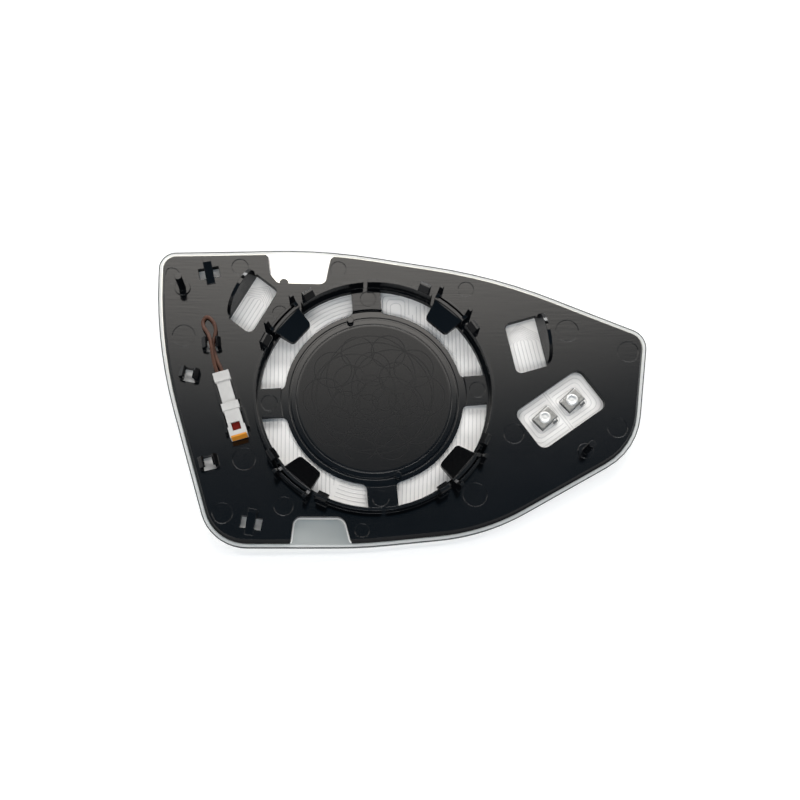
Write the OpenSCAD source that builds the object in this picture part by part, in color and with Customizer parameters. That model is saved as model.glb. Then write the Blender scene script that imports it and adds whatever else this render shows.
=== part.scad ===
/* [Glass] */
// Radius of the convex mirror face
mirror_r = 1400; // [1000:50:2000]
// Thickness of the glass
glass_t = 2; // [1.6:0.1:3]
// Width of bare glass left all round outside the backing plate
glass_rim = 1.6; // [0.8:0.1:3]
// Sideways place of the deepest point of the glass, from the ring's centre
crown_x = 10; // [0:1:20]
// Lengthways place of the deepest point of the glass, from the ring's centre
crown_y = -1; // [-10:1:10]

/* [Backing plate] */
// Thickness of the moulded sheet
plate_t = 2.4; // [1.6:0.1:3]
// Thickness of the heater foil
foil_t = 0.3; // [0.2:0.05:0.5]
// Distance that the foil stays back from the plate's edge
foil_inset = 0.3; // [0.1:0.1:1]
// Depth of the round ejector marks
mark_depth = 0.12; // [0.05:0.01:0.3]
// Height of the two steady pins above the plate
pin_h = 11; // [7:0.5:15]
// Radius of the steady pins
pin_r = 1.35; // [1:0.05:2]

/* [Snap ring] */
// Turn of the whole ring on the plate, in degrees
ring_turn = 4.2; // [0:0.1:10]
// Radius of the flat seat in the middle
seat_r = 30; // [26:0.5:31]
// Radius of the round groove in the hub
groove_r = 32.2; // [31.5:0.1:33]
// Depth of the hub below the plate's lowest point
hub_drop = 0.9; // [0.5:0.1:1.2]
// Radius of the hub, up to the openings
hub_r = 34.8; // [33.8:0.2:35.4]
// Radius of the round recess that leaves the spokes standing above the hub
recess_r = 36; // [35.6:0.1:38]
// Radius of the openings' corners at the hub
web_r = 2.2; // [1:0.1:3]
// Outer radius of the openings round the hub
ring_r = 44; // [43:0.25:45]
// Ledge between the edge of the openings and the ring wall
wall_step = 1; // [0.6:0.1:1.4]
// Thickness of the ring wall
ring_wall = 1.2; // [1:0.1:1.6]
// Height of the ring wall above the seat
ring_h = 7; // [6:0.1:8]
// Width of the four spokes
spoke_w = 11.4; // [8:0.1:13]
// Width of the slits in the ring wall
slit_w = 1.6; // [1:0.1:2]
// Width of each snap tab where it leaves the wall
tab_w = 13.8; // [11:0.1:15]
// Width of each snap tab at its inner end
tab_end_w = 10.4; // [8:0.1:11]
// Reach of each snap tab over the opening
tab_reach = 7.2; // [5:0.1:8]
// Thickness of the snap tabs
tab_t = 1.5; // [1:0.1:2]
// Height above the seat of the lugs and gussets
tall_h = 11.6; // [10:0.1:12.4]
// Thickness of the ribs
rib_t = 1.4; // [1:0.1:1.8]

/* [Fins and windows] */
// Length of the slots beside the half-moon fins
slot_l = 21.2; // [16:0.2:21.8]
// Width of the left slot
slot_left_w = 10.8; // [8:0.2:11.4]
// Width of the right slot
slot_right_w = 13; // [10:0.2:13.4]
// Height of the half-moon fins above the plate
fin_h = 10.6; // [9:0.1:11]
// Length of the window over the heater terminals
term_win_l = 32; // [28:0.2:32.6]
// Width of the window over the heater terminals
term_win_w = 18.6; // [16:0.2:19.2]
// Corner radius of the windows
win_corner = 2.4; // [1:0.1:4]

/* [Heater terminals] */
// Length of each folded terminal
term_l = 8; // [7:0.1:9]
// Width of each folded terminal
term_w = 6.3; // [5.8:0.1:7]
// Thickness of the terminal metal
term_t = 0.5; // [0.4:0.1:0.6]
// Height of the folded terminal
term_h = 2.2; // [1.8:0.1:3]
// Radius of the rivet heads
rivet_r = 2.2; // [1.6:0.1:2.4]

/* [Connector] */
// Length of the connector with its retainer
conn_l = 26.4; // [25:0.2:29]
// Width of the connector body
conn_w = 6.6; // [6.2:0.1:7.2]
// Height of the connector body
conn_h = 5.6; // [5:0.1:7]
// Width of the connector's neck
neck_w = 5.1; // [4.6:0.1:5.6]
// Depth of the retainer in the connector's end
retainer_t = 1.7; // [1.2:0.1:2.2]
// Side of the square lock in the connector's top
lock_side = 3.3; // [2.4:0.1:3.6]
// Gap between the connector and its cradle
cradle_gap = 0.2; // [0.1:0.05:0.4]
// Diameter of the jumper wire
wire_d = 1.4; // [1:0.1:1.5]

/* [Hidden] */
eps = 0.01;

// Corners of the glass outline, as x, y and corner radius, anticlockwise from the lower left
outline = [
  [-61, -59, 18],
  [-5, -59, 200],
  [42, -54.5, 85],
  [102, -21.5, 28],
  [109, 25.5, 8],
  [49, 51.5, 200],
  [-20, 62, 200],
  [-84.5, 58.5, 7],
  [-84.5, 20.5, 190]
];
// Corners of the bay in the plate's upper edge, anticlockwise
upper_bay = [
  [-47, 66, 1],
  [-41.8, 57.5, 3],
  [-41, 50, 2],
  [-38, 46.2, 3],
  [-19, 46.2, 3],
  [-18, 52, 2],
  [-17, 57, 3],
  [-12, 66, 1]
];
// Corners of the bay in the plate's lower edge, clockwise
lower_bay = [
  [-36, -65, 1],
  [-31.4, -56.5, 3],
  [-30.4, -47.4, 3],
  [-11.5, -47.4, 4],
  [-9.4, -56, 3],
  [-4, -65, 1]
];

// Levels above the seat, which is the zero plane
plate_low = hub_drop;
foil_top = plate_low - plate_t;
glass_top = foil_top - foil_t;
glass_low = glass_top - glass_t;
reach = 130;
crown_step = 13;
// Depth to which every upright is let into the plate
root = 0.8;

// Middle of each fin's foot, and the direction of its slot
fin_feet = [[-51.4, 40.5, 60.7], [66.35, 23, 101.4]];
// Side of the fin on which its slot lies
slot_sides = [-1, 1];
slot_widths = [slot_left_w, slot_right_w];
// Shift of the slot's far side along the slot
slot_rakes = [-1.6, -1];
slot_sharp_r = 0.4;
// Gap between the ends of a fin and the ends of its slot, and the shift of the fin's crown
fin_end_gap = 0.9;
fin_shift = 1.5;
// Cut corner at the fin's upper end: its length and the height where it starts
fin_cut = [3.2, 4.4];
// Place and direction of the terminal window
term_win = [72.5, -5.1, 34.7];
term_win_corner = win_corner + 0.8;
// Middle between the two terminals, the direction from one to the other, and their own turn
term_mid = [71.7, -5, 33];
term_turn = 42.6;
// Distance of each terminal from that middle
term_gap = 6.5;
// Lift that keeps the flat terminals clear of the hollow foil
terminal_gap = 0.06;
term_lip = 1;
hook_r = 0.9;
hook_w = 1.8;
hook_sink = 0.1;
rivet_h = 0.35;
// Places and turns of the two hook windows
hook_wins = [[-64.6, 49.6, 12], [-46.1, -49.9, -10]];
hook_win = [8, 4.4];
// Sloping hook bar: width, length and height at its raised end
hook_bar = [3.2, 9.4, 3.8];
hook_t = 1.6;
// Places and turns of the two free wire clips
free_clips = [[-70.6, 7.6, -10], [-62.3, -27, 15]];
// Place and turn of the clip round the jumper wire, in the connector's own frame
loop_clip = [-13.2, -0.3, 77.9];
clip_hole = [4.8, 5.4];
clip_lug_w = 4.2;
clip_lug_t = 1.4;
clip_h = 4.4;
clip_nose = 0.7;
// Places of the steady pins, and the flat foot round each
pins = [[-74.6, 43], [81.1, -22.2]];
pin_foot_r = 3;
pin_foot_h = 0.5;
// Round tab on the floor of the upper bay
bay_tab = [-35.4, 46.4, 1.7];
// Round ejector marks: x, y and radius
marks = [
  [-73.5, 23.5, 4.3],
  [-79, 48, 3.2],
  [-52.7, 52.6, 3.2],
  [-36.8, 33.8, 2.9],
  [-14, 52.7, 3.1],
  [36.8, 44.6, 3.1],
  [76.5, 27, 4.5],
  [100, 17.9, 4.2],
  [-49.3, -25.3, 4.3],
  [-56.8, -46.2, 3.9],
  [-34.2, -43.4, 3.6],
  [38, -39, 4.6],
  [53.8, -15, 3.9],
  [94, -13, 3.9],
  [-4.9, -52.8, 2.7],
  [-2.2, 40.3, 3.1],
  [-40.3, -3, 3.1],
  [40.2, 2.9, 3.1],
  [2.2, -40.4, 3.1]
];
// Pips on the hub: direction in degrees
pips = [106.5, -74.3];
pip_r = 1.3;
pip_h = 1.9;
groove_w = 0.8;
groove_depth = 0.4;
line_w = 0.3;
line_depth = 0.1;

// Connector place: middle of its wire end, at a set distance from the ring, and its direction
conn_clear = 14.5;
conn_end = [-ring_r - conn_clear, 7.45];
conn_turn = -72.9;
cradle_floor_t = 0.5;
cradle_side = 0.6;
collar_l = 3.8;
collar_w = conn_w - 0.4;
collar_drop = 0.4;
neck_l = 8.9;
neck_drop = 0.8;
flange_l = 3;
waist_w = conn_w - 0.8;
head_l = 4.1;
flange_end = collar_l + neck_l + flange_l;
rail_w = 1.1;
rail_h = 3.6;
rail_end_gap = 0.7;
// Centre lines of the two wire cavities, across the connector and above its base
cavity_y = [-1.3, 0.55];
cavity_z = 3;
cavity_r = 0.8;
cavity_end = retainer_t + 0.8;
contact_x = 4.5;
contact_l = conn_l - contact_x - cavity_end - 1;
contact_gap = 0.1;
lock_x = conn_l - 4;
lock_depth = 1.6;
lock_t = 0.6;
lock_gap = 0.1;
retainer_rim = 0.35;
retainer_back = 0.2;
conn_along = [cos(conn_turn), sin(conn_turn)];
conn_across = [-sin(conn_turn), cos(conn_turn)];
conn_mid = conn_end + conn_l / 2 * conn_along;
loop_clip_at = conn_end + loop_clip[0] * conn_along + loop_clip[1] * conn_across;
wire_clips = concat([[loop_clip_at[0], loop_clip_at[1], conn_turn + loop_clip[2]]], free_clips);
conn_z = plate_top(conn_mid[0], conn_mid[1]) + cradle_floor_t;

// Points of the jumper wire in the connector's own frame, from one cavity round its loop into the other
wire_route = [
  [contact_x, cavity_y[0], cavity_z],
  [-1.5, cavity_y[0], cavity_z],
  [-4.3, -1.3, 3.1],
  [-7.1, -1.1, 3.3],
  [-10.3, -0.7, 3.5],
  [-14.1, -0.3, 3.5],
  [-17.3, -0.5, 2.9],
  [-20.4, -1.3, 1.7],
  [-22.8, -1.1, 1.2],
  [-24.3, 0.3, 1.2],
  [-23.9, 1.7, 1.2],
  [-21.3, 2.8, 1.2],
  [-18.3, 2.7, 1.3],
  [-16.0, 1.8, 1.5],
  [-13.0, 0.4, 1.7],
  [-8.9, -0.1, 2.2],
  [-5.0, 0.1, 2.8],
  [-1.5, cavity_y[1], cavity_z],
  [contact_x, cavity_y[1], cavity_z]
];
wire_sides = 8;
wire_steps = 4;

// Height of the plate's upper face, and of the other faces with their own level
function crown(x, y) = (pow(x - crown_x, 2) + pow(y - crown_y, 2)) / 2 / mirror_r;
function plate_top(x, y) = plate_low + crown(x, y);

// Rounded outline: each corner moved inwards and replaced by an arc
function unit(v) = v / norm(v);
function side(c, i) = unit([c[(i + 1) % len(c)][0] - c[i][0], c[(i + 1) % len(c)][1] - c[i][1]]);
function turn_at(c, i) = let(
    a = side(c, (i + len(c) - 1) % len(c)),
    b = side(c, i)
  ) atan2(a[0] * b[1] - a[1] * b[0], a[0] * b[0] + a[1] * b[1]);
function moved(c, i, d) = let(
    a = side(c, (i + len(c) - 1) % len(c)),
    b = side(c, i),
    t = turn_at(c, i)
  ) [c[i][0], c[i][1]] + d * ([-a[1], a[0]] - tan(t / 2) * a);
function corner_arc(c, i, d) = let(
    a = side(c, (i + len(c) - 1) % len(c)),
    t = turn_at(c, i),
    s = sign(t),
    r = max(c[i][2] - s * d, 0.05),
    start = moved(c, i, d) - a * r * abs(tan(t / 2)),
    centre = start + s * r * [-a[1], a[0]],
    from = atan2(-s * a[0], s * a[1]),
    n = max(2, ceil(abs(t) / (r > 50 ? 2.5 : 9)))
  ) [for (k = [0:n]) centre + r * [cos(from + t * k / n), sin(from + t * k / n)]];
function rounded(c, d = 0) = [for (i = [0:len(c) - 1]) each corner_arc(c, i, d)];

// Smooth tube round a list of points
function spline(p, i, t) = let(
    a = p[max(i - 1, 0)],
    b = p[i],
    c = p[i + 1],
    d = p[min(i + 2, len(p) - 1)]
  ) 0.5 * (2 * b + (c - a) * t + (2 * a - 5 * b + 4 * c - d) * t * t + (3 * b - a - 3 * c + d) * t * t * t);
function path(p, n) = [
  for (i = [0:len(p) - 2]) for (k = [0:n - 1]) spline(p, i, k / n),
  p[len(p) - 1]
];
function heading(p, i) = unit(p[min(i + 1, len(p) - 1)] - p[max(i - 1, 0)]);
function ring_at(p, i, r, n) = let(
    f = heading(p, i),
    u = unit(cross(f, [0, 0, 1])),
    v = cross(u, f)
  ) [for (k = [0:n - 1]) p[i] + r * (cos(360 * k / n) * u + sin(360 * k / n) * v)];

module tube(points, r, n) {
  m = len(points);
  rings = [for (i = [0:m - 1]) each ring_at(points, i, r, n)];
  sides = [
    for (i = [0:m - 2]) for (k = [0:n - 1])
      [i * n + k, i * n + (k + 1) % n, (i + 1) * n + (k + 1) % n, (i + 1) * n + k]
  ];
  ends = [[for (k = [n - 1:-1:0]) k], [for (k = [0:n - 1]) (m - 1) * n + k]];
  polyhedron(rings, concat(sides, ends));
}

// A sheet of even thickness that follows the crown, cut to the children's outline
module crowned(low, high) {
  intersection() {
    translate([0, 0, low - 1])
      linear_extrude(high - low + 2 + reach * reach / 2 / mirror_r) children();
    translate([crown_x, crown_y, 0])
      rotate_extrude($fn = 120)
        polygon(concat(
          [for (r = [0:crown_step:reach]) [r, low + r * r / 2 / mirror_r]],
          [for (r = [reach:-crown_step:0]) [r, high + r * r / 2 / mirror_r]]
        ));
  }
}

// Puts its children on a crowned face of the given level, square to it
module on_crown(level, x, y, turn = 0) {
  lean = 180 / PI / mirror_r;
  translate([x, y, level + crown(x, y)])
    rotate([(y - crown_y) * lean, -(x - crown_x) * lean, 0])
      rotate([0, 0, turn])
        children();
}

module on_plate(x, y, turn = 0) {
  on_crown(plate_low, x, y, turn)
    children();
}

// Repeats its children at the four quarters of the ring
module quarters(offset_deg = 0) {
  for (k = [0:3])
    rotate([0, 0, ring_turn + offset_deg + 90 * k])
      children();
}

module rounded_box(l, w, r) {
  polygon(rounded([[-l / 2, -w / 2, r], [l / 2, -w / 2, r], [l / 2, w / 2, r], [-l / 2, w / 2, r]]));
}

module plate_outline(inset) {
  polygon(rounded(outline, inset));
}

module bays(shrink = 0) {
  polygon(rounded(upper_bay, shrink));
  polygon(rounded(lower_bay, -shrink));
}

// One opening between hub, two spokes and ring wall, with rounded corners at the hub
module ring_opening() {
  w = spoke_w / 2;
  from = asin(w / ring_r);
  cx = sqrt(pow(hub_r + web_r, 2) - pow(w + web_r, 2));
  lean = atan2(w + web_r, cx);
  polygon(concat(
    [for (k = [0:arc_n]) let(a = from + (90 - 2 * from) * k / arc_n) ring_r * [cos(a), sin(a)]],
    [for (k = [0:web_n]) let(a = 180 + (90 - lean) * k / web_n) [w + web_r, cx] + web_r * [cos(a), sin(a)]],
    [for (k = [1:arc_n - 1]) let(a = 90 - lean - (90 - 2 * lean) * k / arc_n) hub_r * [cos(a), sin(a)]],
    [for (k = [0:web_n]) let(a = 180 + lean + (90 - lean) * k / web_n) [cx, w + web_r] + web_r * [cos(a), sin(a)]]
  ));
}

module ring_openings() {
  for (k = [0:3])
    rotate(ring_turn + 90 * k)
      ring_opening();
}

// Slot beside a fin, with sharp corners at the fin
module fin_slot(i) {
  f = fin_feet[i];
  s = slot_sides[i];
  far = s * slot_widths[i];
  translate([f[0], f[1]])
    rotate(f[2])
      polygon(rounded([
        [-slot_l / 2, 0, slot_sharp_r],
        [slot_l / 2, 0, slot_sharp_r],
        [slot_l / 2 + slot_rakes[i], far, win_corner],
        [-slot_l / 2 + slot_rakes[i], far, win_corner]
      ]));
}

module windows() {
  for (i = [0:1])
    fin_slot(i);
  translate([term_win[0], term_win[1]])
    rotate(term_win[2])
      rounded_box(term_win_l, term_win_w, term_win_corner);
  for (h = hook_wins)
    translate([h[0], h[1]])
      rotate(h[2])
        square(hook_win, center = true);
  for (c = wire_clips)
    translate([c[0], c[1]])
      rotate(c[2])
        square(clip_hole, center = true);
}

module wall_arc(r, t, from, to, low, high) {
  translate([0, 0, low])
    rotate_extrude(angle = to - from, start = from, $fn = 96)
      translate([r, 0])
        square([t, high - low]);
}

wall_in = ring_r + wall_step;
wall_out = wall_in + ring_wall;
wall_low = plate_low - root;
arc_n = 13;
web_n = 5;
slit_floor = plate_low + 0.6;
slit_side = 1.3;
tab_angle = 2 * asin(tab_w / 2 / wall_in);
tab_in = ring_r - tab_reach;
tab_out = wall_in + 0.7;
tab_fall = 2.4;
tab_drop = 0.5;
tab_corner = 1.6;
lug_angle = 15.5;
lug_size = [2.3, 4.2];
lug_nose = [1.2, 2];
lug_chamfer = 0.7;
gusset_angle = 8.4;
gusset_out = wall_out + 3.4;
gusset_tip = 1.2;
strip_r = wall_out + 0.8;
strip_t = 0.9;

// Ring wall with its slits at two spokes and beside the snap tongues
module ring_wall_body() {
  difference() {
    translate([0, 0, wall_low])
      difference() {
        cylinder(r = wall_out, h = ring_h - wall_low, $fn = 96);
        translate([0, 0, -1])
          cylinder(r = wall_in, h = ring_h - wall_low + 2, $fn = 96);
      }
    for (k = [1, 3])
      rotate([0, 0, ring_turn + 90 * k])
        slit();
    quarters(45)
      for (s = [-1, 1])
        rotate([0, 0, s * (tab_angle / 2 + slit_side)])
          slit();
  }
}

module slit() {
  translate([wall_in - 1, -slit_w / 2, slit_floor])
    cube([ring_wall + 2, slit_w, ring_h]);
}

// Snap tab that reaches in over the opening, falling towards its inner end
module snap_tab() {
  top = ring_h - tab_drop;
  intersection() {
    translate([0, 0, plate_low])
      linear_extrude(ring_h)
        polygon(rounded([
          [tab_in, -tab_end_w / 2, tab_corner],
          [tab_out, -tab_w / 2, slot_sharp_r],
          [tab_out, tab_w / 2, slot_sharp_r],
          [tab_in, tab_end_w / 2, tab_corner]
        ]));
    translate([0, tab_w, 0])
      rotate([90, 0, 0])
        linear_extrude(2 * tab_w)
          polygon([
            [tab_in - 1, top - tab_fall - tab_t],
            [tab_out + 1, top - 2 * tab_t],
            [tab_out + 1, top],
            [wall_in - tab_drop, top],
            [tab_in - 1, top - tab_fall]
          ]);
  }
}

// Lug beside the tongue, with a small nose that points inwards
module guide_lug() {
  nose = tall_h - lug_nose[1];
  translate([wall_in + slot_sharp_r / 2, lug_size[1] / 2, 0])
    rotate([90, 0, 0])
      linear_extrude(lug_size[1])
        polygon([
          [0, wall_low],
          [lug_size[0], wall_low],
          [lug_size[0], tall_h - lug_chamfer],
          [lug_size[0] - lug_chamfer, tall_h],
          [lug_chamfer, tall_h],
          [-lug_nose[0], nose],
          [-lug_nose[0], nose - lug_chamfer],
          [0, nose - lug_chamfer - lug_nose[0]]
        ]);
}

// Rib behind the tongue, which rises to a tip at its outer end
module gusset() {
  translate([0, rib_t / 2, 0])
    rotate([90, 0, 0])
      linear_extrude(rib_t)
        polygon([
          [wall_out - slot_sharp_r, wall_low],
          [gusset_out, wall_low],
          [gusset_out, tall_h],
          [gusset_out - gusset_tip, tall_h],
          [gusset_out - 2 * gusset_tip, ring_h + gusset_tip],
          [wall_out - slot_sharp_r, ring_h + slot_sharp_r]
        ]);
}

module snap_clips() {
  quarters(45) {
    snap_tab();
    wall_arc(strip_r, strip_t, -gusset_angle - 0.5, gusset_angle + 0.5, wall_low, ring_h - tab_drop / 2);
    for (s = [-1, 1]) {
      rotate([0, 0, s * lug_angle])
        guide_lug();
      rotate([0, 0, s * gusset_angle])
        gusset();
    }
  }
}

// Upright half-moon fin along one long side of a slot, cut off at the slot's upper end
module half_moon(i) {
  f = fin_feet[i];
  half = slot_l / 2 - fin_end_gap;
  translate([f[0], f[1], plate_top(f[0], f[1])])
    rotate([0, 0, f[2]])
      translate([0, (1 - slot_sides[i]) / 2 * rib_t, 0])
        rotate([90, 0, 0])
          intersection() {
            translate([fin_shift, 0, 0])
              cylinder(r = fin_h, h = rib_t, $fn = 72);
            translate([0, 0, -1])
              linear_extrude(rib_t + 2)
                polygon([
                  [-half, -root],
                  [half, -root],
                  [half, fin_cut[1]],
                  [half - fin_cut[0], fin_h + 1],
                  [-half, fin_h + 1]
                ]);
          }
}

// Hook bar across its window, rising towards the upper edge
module hook_bars() {
  for (h = hook_wins)
    on_plate(h[0], h[1], h[2])
      translate([-hook_bar[0] / 2, 0, 0])
        rotate([90, 0, 90])
          linear_extrude(hook_bar[0])
            polygon([
              [-hook_bar[1] / 2, -root],
              [hook_bar[1] / 2, -root],
              [hook_bar[1] / 2, hook_bar[2]],
              [hook_bar[1] / 2 - hook_t, hook_bar[2]],
              [-hook_bar[1] / 2, hook_t / 4]
            ]);
}

// Pair of lugs beside a wire clip's hole, with noses over the hole
module wire_clip_lugs() {
  edge = clip_hole[0] / 2 - slot_sharp_r / 2;
  for (c = wire_clips)
    on_plate(c[0], c[1], c[2])
      for (m = [0, 1])
        mirror([m, 0, 0])
          translate([0, clip_lug_w / 2, 0])
            rotate([90, 0, 0])
              linear_extrude(clip_lug_w)
                polygon([
                  [edge, -root],
                  [edge + clip_lug_t, -root],
                  [edge + clip_lug_t, clip_h - clip_lug_t],
                  [edge, clip_h],
                  [edge - clip_nose, clip_h - clip_nose],
                  [edge, clip_h - 2 * clip_nose]
                ]);
}

module in_connector() {
  translate([conn_end[0], conn_end[1], conn_z])
    rotate([0, 0, conn_turn])
      children();
}

// Floor and four rails that hold the connector
module cradle() {
  in_connector() {
    translate([cradle_side, -conn_w / 2 - cradle_side, -plate_t])
      cube([conn_l - 2 * cradle_side, conn_w + 2 * cradle_side, plate_t]);
    rails(collar_l + rail_end_gap, collar_l + neck_l - rail_end_gap, neck_w / 2 + cradle_gap);
    rails(flange_end - rail_end_gap, conn_l - head_l + 1, conn_w / 2 + cradle_gap);
  }
}

module rails(from, to, gap) {
  for (m = [0, 1])
    mirror([0, m, 0])
      translate([from, gap, -plate_t])
        cube([to - from, rail_w, plate_t + rail_h]);
}

module ejector_marks() {
  for (m = marks)
    on_plate(m[0], m[1])
      translate([0, 0, -mark_depth])
        cylinder(r = m[2], h = 2, $fn = 48);
}

// Recess that sinks the hub below the spokes, with the groove and the fine line in the hub
module hub_recess() {
  cylinder(r = recess_r, h = plate_t, $fn = 96);
  ring_cut(groove_r, groove_w, groove_depth);
  ring_cut(seat_r, line_w, line_depth);
}

module ring_cut(r, w, depth) {
  translate([0, 0, -depth])
    rotate_extrude($fn = 96)
      translate([r, 0])
        square([w, depth + 1]);
}

module hub_pips() {
  for (a = pips)
    rotate([0, 0, a])
      translate([groove_r + groove_w / 2, 0, -groove_depth - eps])
        cylinder(r = pip_r, h = pip_h + groove_depth, $fn = 32);
}

module steady_pins() {
  for (p = pins)
    translate([p[0], p[1], plate_top(p[0], p[1]) - root]) {
      cylinder(r = pin_r, h = pin_h + root, $fn = 32);
      cylinder(r = pin_foot_r, h = pin_foot_h + root, $fn = 48);
    }
}

module mirror_glass() {
  color("gainsboro")
    crowned(glass_low, glass_top)
      plate_outline(0);
}

module heater_foil() {
  color("whitesmoke")
    crowned(glass_top, foil_top)
      difference() {
        plate_outline(glass_rim + foil_inset);
        bays(0.5);
      }
}

module backing_plate() {
  color([0.13, 0.13, 0.14]) {
    difference() {
      crowned(foil_top, plate_low)
        difference() {
          plate_outline(glass_rim);
          difference() {
            bays();
            translate([bay_tab[0], bay_tab[1]])
              circle(bay_tab[2], $fn = 24);
          }
          ring_openings();
          windows();
        }
      ejector_marks();
      hub_recess();
    }
    hub_pips();
    ring_wall_body();
    snap_clips();
    for (i = [0:1])
      half_moon(i);
    hook_bars();
    wire_clip_lugs();
    cradle();
    steady_pins();
  }
}

// Heater terminals: sheet metal folded over on itself, with a lip and a curled hook
module at_terminal(s) {
  x = term_mid[0] + s * term_gap * cos(term_mid[2]);
  y = term_mid[1] + s * term_gap * sin(term_mid[2]);
  on_crown(foil_top + terminal_gap, x, y, term_turn)
    children();
}

module folded_sheet() {
  fold = term_h / 2 - eps;
  half = term_w / 2;
  translate([-term_l / 2, 0, 0])
    rotate([90, 0, 90])
      linear_extrude(term_l)
        difference() {
          polygon(rounded([
            [-half, 0, term_t / 2],
            [half, 0, fold],
            [half, term_h, fold],
            [-half, term_h, term_t]
          ]));
          polygon(rounded([
            [-half - 1, term_t, 0.1],
            [half - term_t, term_t, fold - term_t],
            [half - term_t, term_h - term_t, fold - term_t],
            [term_t - half, term_h - term_t, 0.1],
            [term_t - half, term_h - term_lip, 0.1],
            [-half - 1, term_h - term_lip, 0.1]
          ]));
        }
}

module hook() {
  translate([term_l / 2 - hook_w - 2 * term_t, -term_w / 2 - hook_r + term_t, term_h - hook_r - hook_sink])
    rotate([90, 0, 90])
      rotate_extrude(angle = 230, start = 40, $fn = 36)
        translate([hook_r - term_t, 0])
          square([term_t, hook_w]);
}

module heater_terminal(s) {
  color("lightgray")
    at_terminal(s)
      difference() {
        union() {
          folded_sheet();
          hook();
        }
        translate([0, 0, -1])
          cylinder(r = rivet_r / 2, h = term_h + 2, $fn = 32);
      }
}

module terminal_rivet(s) {
  color("white")
    at_terminal(s) {
      cylinder(r = rivet_r / 2, h = term_h + eps, $fn = 32);
      translate([0, 0, term_h])
        cylinder(r = rivet_r, h = rivet_h, $fn = 48);
      translate([0, 0, term_h + rivet_h])
        cylinder(r1 = rivet_r, r2 = rivet_r * 0.7, h = rivet_h, $fn = 48);
    }
}

// Block of the connector from one place along it to another
module conn_block(from, to, w, h) {
  translate([from, -w / 2, 0])
    cube([to - from, w, h]);
}

module connector_housing() {
  color("white")
    in_connector()
      difference() {
        union() {
          conn_block(0, collar_l, collar_w, conn_h - collar_drop);
          conn_block(collar_l - eps, collar_l + neck_l + eps, neck_w, conn_h - neck_drop);
          conn_block(collar_l + neck_l, flange_end, conn_w, conn_h);
          conn_block(flange_end - eps, conn_l - head_l + eps, waist_w, conn_h - collar_drop / 2);
          conn_block(conn_l - head_l, conn_l, conn_w, conn_h);
        }
        for (y = cavity_y)
          translate([-1, y, cavity_z])
            rotate([0, 90, 0])
              cylinder(r = cavity_r, h = conn_l - cavity_end + 1, $fn = 32);
        translate([lock_x - lock_side / 2, -lock_side / 2, conn_h - lock_depth])
          cube([lock_side, lock_side, 2 * lock_depth]);
        translate([conn_l - retainer_t, -conn_w / 2 + retainer_rim, retainer_rim])
          cube([retainer_t + 1, conn_w - 2 * retainer_rim, conn_h - 2 * retainer_rim]);
      }
}

module connector_contact(i) {
  color("silver")
    in_connector()
      translate([contact_x, cavity_y[i], cavity_z])
        rotate([0, 90, 0])
          cylinder(r = cavity_r - contact_gap, h = contact_l, $fn = 32);
}

module connector_lock() {
  side = lock_side - 2 * lock_gap;
  color("darkred")
    in_connector()
      translate([lock_x - side / 2, -side / 2, conn_h - lock_depth])
        cube([side, side, lock_t]);
}

module connector_retainer() {
  rim = retainer_rim + lock_gap;
  color("darkorange")
    in_connector()
      translate([conn_l - retainer_t, -conn_w / 2 + rim, rim])
        cube([retainer_t - retainer_back, conn_w - 2 * rim, conn_h - 2 * rim]);
}

module jumper_wire() {
  color("saddlebrown")
    in_connector()
      tube(path(wire_route, wire_steps), wire_d / 2, wire_sides);
}

mirror_glass();
heater_foil();
backing_plate();
heater_terminal(-1);  // heater_terminal_left
heater_terminal(1);  // heater_terminal_right
terminal_rivet(-1);  // terminal_rivet_left
terminal_rivet(1);  // terminal_rivet_right
connector_housing();
connector_contact(0);  // connector_contact_left
connector_contact(1);  // connector_contact_right
connector_lock();
connector_retainer();
jumper_wire();
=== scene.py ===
"""Back of a heated car door mirror glass, lying on its mirror face."""
import math

import bpy
from mathutils import Matrix, Vector


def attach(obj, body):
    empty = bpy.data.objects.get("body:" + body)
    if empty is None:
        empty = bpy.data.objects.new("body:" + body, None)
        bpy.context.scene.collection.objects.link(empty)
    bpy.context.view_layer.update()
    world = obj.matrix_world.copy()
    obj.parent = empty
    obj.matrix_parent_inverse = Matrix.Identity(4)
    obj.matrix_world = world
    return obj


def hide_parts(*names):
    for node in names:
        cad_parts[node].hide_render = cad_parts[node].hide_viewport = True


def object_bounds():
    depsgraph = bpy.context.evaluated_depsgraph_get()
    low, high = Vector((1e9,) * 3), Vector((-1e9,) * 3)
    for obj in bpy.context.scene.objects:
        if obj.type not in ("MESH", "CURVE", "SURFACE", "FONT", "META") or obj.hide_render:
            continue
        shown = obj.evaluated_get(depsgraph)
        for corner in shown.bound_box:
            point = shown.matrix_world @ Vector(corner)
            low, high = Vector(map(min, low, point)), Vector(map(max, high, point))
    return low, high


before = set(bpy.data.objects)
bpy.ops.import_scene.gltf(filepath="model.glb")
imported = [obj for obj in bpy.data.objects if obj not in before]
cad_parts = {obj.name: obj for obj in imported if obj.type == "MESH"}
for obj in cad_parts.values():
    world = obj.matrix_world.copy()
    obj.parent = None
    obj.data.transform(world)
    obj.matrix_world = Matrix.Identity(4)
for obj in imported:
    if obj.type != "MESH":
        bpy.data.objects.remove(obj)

CAD_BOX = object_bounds()
MM = 0.001

# Sizes and places are in millimetres and degrees, as the CAD model has them

# Crown of glass, foil and plate: radius, place of its lowest point, and length of the solids' straight steps
MIRROR_R = 1400.0
CROWN_MID = (10.0, -1.0)
CROWN_STEP = 13.0

# Upper faces at the crown's lowest point
PLATE_TOP = 0.9
FOIL_TOP = -1.5
GLASS_TOP = -1.8

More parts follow.
